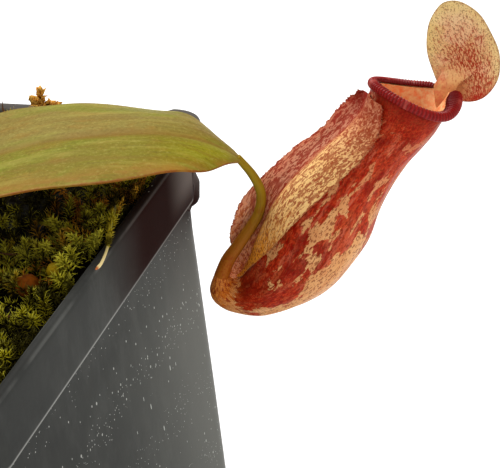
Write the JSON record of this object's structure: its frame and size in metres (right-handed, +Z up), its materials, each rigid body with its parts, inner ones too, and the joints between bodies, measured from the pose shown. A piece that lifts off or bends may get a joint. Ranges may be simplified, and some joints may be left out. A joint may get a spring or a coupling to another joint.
{
  "type": "potted pitcher plant",
  "caption": "Tropical pitcher plant in a square nursery pot: broad leaves on a short stem, curved tendrils, winged pitchers with ribbed lips and lids, and a mossy bed.",
  "frame": {"origin": "centre of the pot's flat base", "axes": "+Z up; X and Y square to the pot's side walls, with the largest pitcher out on the +X side"},
  "size_m": [0.2318, 0.1974, 0.1583],
  "materials": {
    "pot_plastic": "satin moulded polypropylene",
    "bark": "rough damp bark and peat",
    "moss": "soft and damp",
    "sprig": "soft and damp",
    "stem": "ridged by old leaf scars",
    "leaf": "smooth satin",
    "tendril": "smooth satin",
    "pitcher": "satin, blotched red and cream",
    "lip": "glossy and ribbed",
    "lid": "satin, speckled red"
  },
  "bodies": {
    "root": {"pot": "pot_plastic", "growing_medium": "bark", "moss": "moss", "moss_sprig": "sprig", "stem": "stem", "young_leaf": "leaf", "leaf_1": "leaf", "leaf_2": "leaf", "leaf_3": "leaf", "leaf_4": "leaf", "leaf_5": "leaf", "tendril_1": "tendril", "tendril_2": "tendril", "tendril_3": "tendril", "tendril_4": "tendril", "tendril_5": "tendril", "cup_1": "pitcher", "cup_4": "pitcher", "bud_3": "pitcher", "peristome_1": "lip", "peristome_4": "lip", "lid_1": "lid", "lid_4": "lid"}
  },
  "joints": []
}
